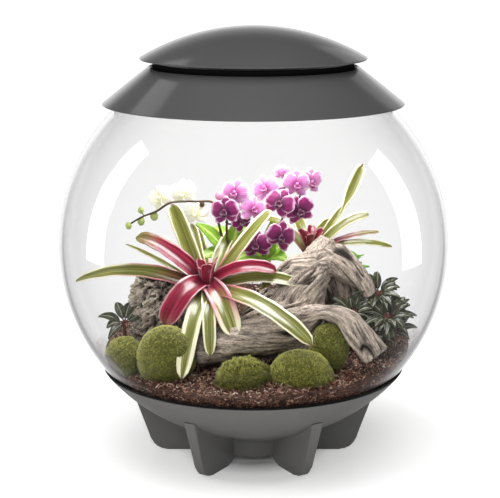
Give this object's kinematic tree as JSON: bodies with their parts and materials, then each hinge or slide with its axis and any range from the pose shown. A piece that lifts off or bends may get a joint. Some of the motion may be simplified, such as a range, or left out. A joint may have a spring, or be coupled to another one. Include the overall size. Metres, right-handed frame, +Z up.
{
  "type": "glass plant terrarium",
  "caption": "Clear globe terrarium on a finned grey stand with a domed lid, planted with bromeliads, mini orchids, moss and driftwood.",
  "frame": {"origin": "on the floor, under the middle of the globe", "axes": "+Z up, the planting's front towards -Y, +X to the right seen from the front"},
  "size_m": [0.42, 0.42, 0.4683],
  "materials": {
    "grey_plastic": "satin gloss",
    "dark_plastic": "matte",
    "lamp_plastic": "frosted",
    "black_rubber": "matte",
    "clear_glass": "clear, polished",
    "coir_soil": "loose fibre",
    "driftwood": "weathered",
    "bark": "rough",
    "bromeliad_leaf": "satin leaf",
    "bromeliad_red": "satin leaf",
    "orchid_leaf": "satin leaf",
    "orchid_stem": "matte",
    "peperomia_leaf": "satin leaf",
    "moss": "velvety",
    "purple_petal": "velvety petal",
    "mauve_petal": "velvety petal",
    "white_petal": "velvety petal"
  },
  "bodies": {
    "root": {"base_stand": "grey_plastic", "seal_ring": "black_rubber", "globe": "clear_glass", "canopy_collar": "grey_plastic", "light_housing": "dark_plastic", "light_diffuser": "lamp_plastic", "lid": "grey_plastic", "bromeliad_leaves": "bromeliad_leaf", "bromeliad_heart": "bromeliad_red", "rear_bromeliad_leaves": "bromeliad_leaf", "rear_bromeliad_heart": "bromeliad_red", "orchid_leaves_left": "orchid_leaf", "orchid_leaves_right": "orchid_leaf", "orchid_stem_left": "orchid_stem", "orchid_stem_low": "orchid_stem", "orchid_stem_right": "orchid_stem", "white_spray_stem": "orchid_stem", "bloom_purple_1": "purple_petal", "bloom_purple_2": "purple_petal", "bloom_purple_3": "purple_petal", "bloom_purple_4": "purple_petal", "bloom_purple_5": "purple_petal", "bloom_purple_6": "purple_petal", "bloom_mauve_1": "mauve_petal", "bloom_mauve_2": "mauve_petal", "bloom_mauve_3": "mauve_petal", "bloom_mauve_4": "mauve_petal", "bloom_mauve_5": "mauve_petal", "bloom_mauve_6": "mauve_petal", "bloom_white_1": "white_petal", "bloom_white_2": "white_petal", "bloom_white_3": "white_petal", "peperomia_right": "peperomia_leaf", "peperomia_cave": "peperomia_leaf", "peperomia_left": "peperomia_leaf", "small_vine": "orchid_leaf", "driftwood_root": "driftwood", "bark_stump": "bark", "moss_cushion_1": "moss", "moss_cushion_2": "moss", "moss_cushion_3": "moss", "moss_cushion_4": "moss", "moss_cushion_5": "moss", "soil": "coir_soil"}
  },
  "joints": []
}
